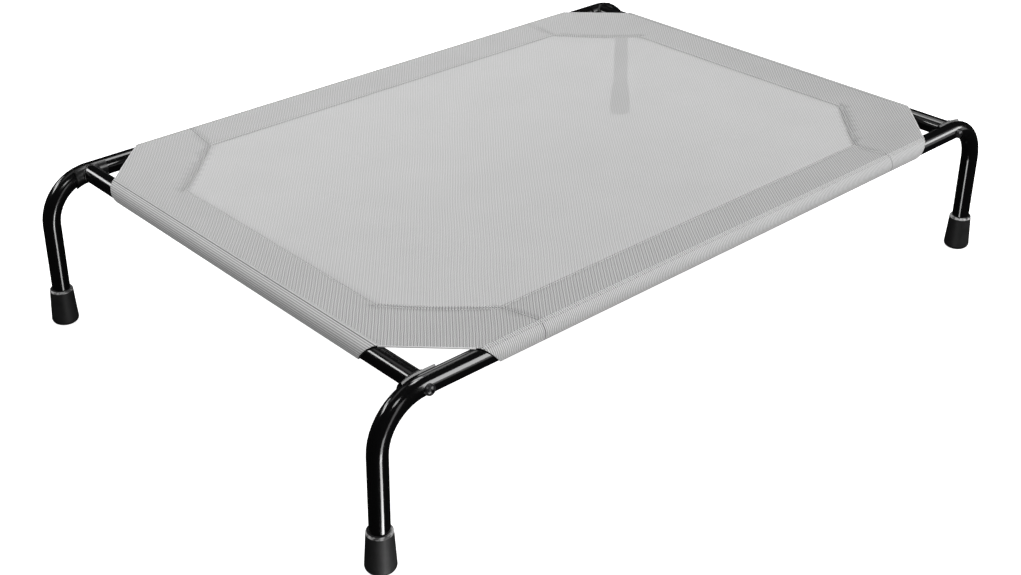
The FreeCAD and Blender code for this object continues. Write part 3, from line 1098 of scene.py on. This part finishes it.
@dataclass
class TubeFrame:
    """The bolted frame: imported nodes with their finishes, and the weld beads that join them."""

    layout: BedLayout
    paint: bpy.types.Material
    saddle_paint: bpy.types.Material
    fastener: bpy.types.Material
    zinc: bpy.types.Material
    plastic: bpy.types.Material
    weld: bpy.types.Material
    bead_radius: float = 1.5 * MM
    bead_sides: int = 8
    bead_tolerance: float = 0.01 * MM
    saddle_radius: float = 15.1 * MM
    ripples: int = 40
    ripple_height: float = 0.09
    slot: str = "black_gloss_paint"

    def dress(self) -> None:
        """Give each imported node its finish."""
        by_ending = {
            "leg_rail": self.paint,
            "cross_tube": self.paint,
            "saddle": self.saddle_paint,
            "frame_bolt": self.fastener,
            "curved_washer": self.fastener,
            "threaded_insert": self.zinc,
            "foot_cap": self.plastic,
        }
        for name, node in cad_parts.items():
            for ending, material in by_ending.items():
                if name.endswith(ending):
                    for place in node.material_slots:
                        place.material = material
                    log.info("dressed %s as %s", name, material.name)

    def weld_beads(self) -> None:
        """A bead around each end of each cross tube, on the saddle that hugs the rail."""
        bed = self.layout
        for corner in Corner:
            sx, sy = corner.value
            bm = bmesh.new()
            bmesh.ops.create_circle(bm, segments=self.bead_sides, radius=self.bead_radius)
            bmesh.ops.rotate(bm, verts=bm.verts[:], matrix=Matrix.Rotation(math.radians(90), 3, "Y"))
            bmesh.ops.translate(bm, verts=bm.verts[:], vec=(0, 0, bed.tube_radius))
            bmesh.ops.spin(bm, geom=bm.verts[:] + bm.edges[:], cent=(0, 0, 0), axis=(0, 1, 0),
                           angle=2 * math.pi, steps=4 * self.ripples, use_merge=True)
            for vertex in bm.verts:
                around = math.atan2(vertex.co.x, vertex.co.z)
                centre = Vector((math.sin(around), 0, math.cos(around))) * bed.tube_radius
                swell = 1 + self.ripple_height * math.sin(self.ripples * around)
                vertex.co = centre + (vertex.co - centre) * swell
                height = max(-bed.tube_radius, min(bed.tube_radius, vertex.co.z))
                vertex.co.y -= math.sqrt(self.saddle_radius ** 2 - height ** 2)
                vertex.co.y *= sy
            bmesh.ops.translate(bm, verts=bm.verts[:], vec=(sx * bed.cross_x, sy * bed.rail_y, bed.axis_z))
            bmesh.ops.remove_doubles(bm, verts=bm.verts[:], dist=self.bead_tolerance)
            bmesh.ops.recalc_face_normals(bm, faces=bm.faces[:])
            make_piece(corner.label + "_saddle_weld", bm, [self.weld], self.slot)


# ---- the studio


@dataclass(frozen=True)
class Lamp:
    """A rectangular soft light: where it hangs, what it faces, its size and how bright its face is."""

    name: str
    place: tuple[float, float, float]
    aim: tuple[float, float, float]
    width: float
    height: float
    radiance: float
    lights_cloth: bool = True
    mirrored: bool = True

    def build(self) -> None:
        """Hang the light."""
        data = bpy.data.lights.new(self.name, "AREA")
        data.shape = "RECTANGLE"
        data.size = self.width
        data.size_y = self.height
        data.energy = self.radiance * self.width * self.height * math.pi
        lamp = bpy.data.objects.new(self.name, data)
        lamp.location = self.place
        lamp.rotation_euler = (Vector(self.aim) - Vector(self.place)).to_track_quat("-Z", "Y").to_euler()
        lamp.visible_camera = False
        lamp.visible_diffuse = self.lights_cloth
        lamp.visible_glossy = self.mirrored
        bpy.context.scene.collection.objects.link(lamp)


@dataclass
class Studio:
    """Pale floor, soft light and the camera."""

    camera_place: tuple[float, float, float] = (-1.33178, -1.41165, 1.08714)
    heading_degrees: float = 47.587
    pitch_degrees: float = 29.523
    lens: float = 51.885
    sensor: float = 36.0
    floor_size: float = 40.0
    floor_glow: float = 0.92
    ambient: float = 0.36
    mirrored_ambient: float = 0.006

    def build(self) -> None:
        """Set up the whole studio."""
        self.floor()
        self.world()
        self.camera()
        for lamp in self.lamps():
            lamp.build()
        bpy.context.scene.view_settings.view_transform = "Standard"
        bpy.context.scene.view_settings.look = "None"

    def lamps(self) -> list[Lamp]:
        """Every light: soft boxes that light the cloth, and strips that only the paint mirrors."""
        bed = (0.0, 0.0, 0.2)
        near = (-0.5, -0.3, 0.2)
        above_bed = (0.4, 0.5, 0.2)
        boxes = [
            Lamp("overhead_box", (0.0, 0.01, 3.2), bed, 3.0, 3.0, 1.38),
            Lamp("rear_overhead_box", (-0.3, 1.5, 2.2), bed, 2.4, 1.6, 1.45),
            Lamp("front_box", (0.7, -2.6, 1.3), bed, 2.6, 1.4, 3.4),
        ]
        strips = [
            Lamp("front_strip", (0.62, -1.82, 0.93), near, 0.7, 1.05, 9.5),
            Lamp("right_strip", (3.09, -1.93, 1.24), (0.5, -0.37, 0.2), 0.9, 0.8, 8.5),
            Lamp("right_glow", (2.3, -2.6, 1.2), bed, 3.2, 2.9, 1.2),
            Lamp("left_strip", (-1.78, 1.37, 1.54), near, 0.9, 0.38, 14.0),
            Lamp("left_far_strip", (-1.22, 2.17, 1.31), (-0.52, 0.3, 0.2), 0.7, 0.36, 10.0),
            Lamp("rear_ceiling_box", (1.3, 0.95, 2.2), (1.3, 0.96, 0.0), 1.1, 1.0, 2.2),
            Lamp("rear_low_box", (1.6, 2.73, 1.65), near, 0.5, 1.3, 2.2),
            Lamp("ceiling_strip", (0.42, 0.65, 2.2), (0.42, 0.66, 0.0), 0.6, 1.0, 7.5),
            Lamp("near_leg_strip", (-0.607, -0.875, -0.26), (-0.575, -0.37, 0.1), 0.19, 0.24, 12.5),
            Lamp("far_leg_strip", (-0.60, -0.76, -0.43), above_bed, 0.34, 0.36, 10.5),
            Lamp("cap_box", (-1.36, -1.15, 1.9), (-0.58, -0.37, 0.05), 0.5, 0.5, 8.5),
            Lamp("bend_strip", (-0.656, -1.474, 0.36), near, 0.26, 0.95, 2.0),
            Lamp("bend_low_strip", (-0.66, -1.12, -0.165), near, 0.20, 0.30, 6.5),
            Lamp("bend_spot", (-0.136, -0.049, 1.64), near, 0.34, 0.26, 13.0),
            Lamp("bend_glow", (-0.862, 0.822, 1.79), near, 1.1, 0.5, 0.7),
        ]
        lit = [replace(box, mirrored=False) for box in boxes]
        return lit + [replace(strip, lights_cloth=False) for strip in strips]

    def floor(self) -> None:
        """Pale floor that reads as plain white paper."""
        bm = bmesh.new()
        bmesh.ops.create_grid(bm, x_segments=1, y_segments=1, size=self.floor_size / 2)
        mesh = bpy.data.meshes.new("studio_floor")
        bm.to_mesh(mesh)
        bm.free()
        floor = bpy.data.objects.new("studio_floor", mesh)
        bpy.context.scene.collection.objects.link(floor)
        board = NodeBoard("white_paper")
        board.set(Base_Color=(0.8, 0.8, 0.8), Roughness=0.9, Emission_Color=(1.0, 1.0, 1.0),
                  Emission_Strength=self.floor_glow)
        mesh.materials.append(board.material)
        floor.visible_glossy = False
        floor.visible_diffuse = False
        floor.visible_shadow = False

    def world(self) -> None:
        """White surroundings for the camera, a soft grey for the cloth and a darker one in the paint."""
        world = bpy.data.worlds.new("studio_world")
        bpy.context.scene.world = world
        world.use_nodes = True
        tree = world.node_tree
        tree.nodes.clear()
        output = tree.nodes.new("ShaderNodeOutputWorld")
        rays = tree.nodes.new("ShaderNodeLightPath")
        glow = {}
        for use, strength in (("seen", 1.0), ("cloth", self.ambient), ("mirrored", self.mirrored_ambient)):
            glow[use] = tree.nodes.new("ShaderNodeBackground")
            glow[use].inputs["Color"].default_value = (1, 1, 1, 1)
            glow[use].inputs["Strength"].default_value = strength
        unseen = tree.nodes.new("ShaderNodeMixShader")
        seen = tree.nodes.new("ShaderNodeMixShader")
        for start, end in ((rays.outputs["Is Glossy Ray"], unseen.inputs["Fac"]),
                           (glow["cloth"].outputs[0], unseen.inputs[1]),
                           (glow["mirrored"].outputs[0], unseen.inputs[2]),
                           (rays.outputs["Is Camera Ray"], seen.inputs["Fac"]),
                           (unseen.outputs[0], seen.inputs[1]),
                           (glow["seen"].outputs[0], seen.inputs[2]),
                           (seen.outputs[0], output.inputs["Surface"])):
            tree.links.new(start, end)

    def camera(self) -> None:
        """Camera at the bed's front left, above it and looking down along the far diagonal."""
        data = bpy.data.cameras.new("camera")
        data.sensor_width = self.sensor
        data.lens = self.lens
        camera = bpy.data.objects.new("camera", data)
        heading = math.radians(self.heading_degrees)
        pitch = math.radians(self.pitch_degrees)
        level = math.cos(pitch)
        look = Vector((math.cos(heading) * level, math.sin(heading) * level, -math.sin(pitch)))
        camera.location = self.camera_place
        camera.rotation_euler = look.to_track_quat("-Z", "Y").to_euler()
        bpy.context.scene.collection.objects.link(camera)
        bpy.context.scene.camera = camera


# ---- the bed


def main() -> None:
    """Build the cover, the stitching, the frame's looks and the studio, in that order."""
    logging.basicConfig(level=logging.INFO, format="%(name)s: %(message)s")
    layout = BedLayout.from_frame()
    log.info("layout %s", layout)
    cover = SewnCover(layout, {layers: cloth.build() for layers, cloth in CLOTHS.items()})
    cover.build()
    Stitching(layout, cover, SEWING_THREAD.build()).build()
    tubes = TubeFrame(layout, paint=GLOSS_COAT.build(), saddle_paint=SADDLE_COAT.build(),
                      fastener=BLACK_ZINC.build(), zinc=ZINC_PLATE.build(), plastic=CapPlastic().build(),
                      weld=WELD_COAT.build())
    tubes.dress()
    tubes.weld_beads()
    Studio().build()


if __name__ == "__main__":
    main()
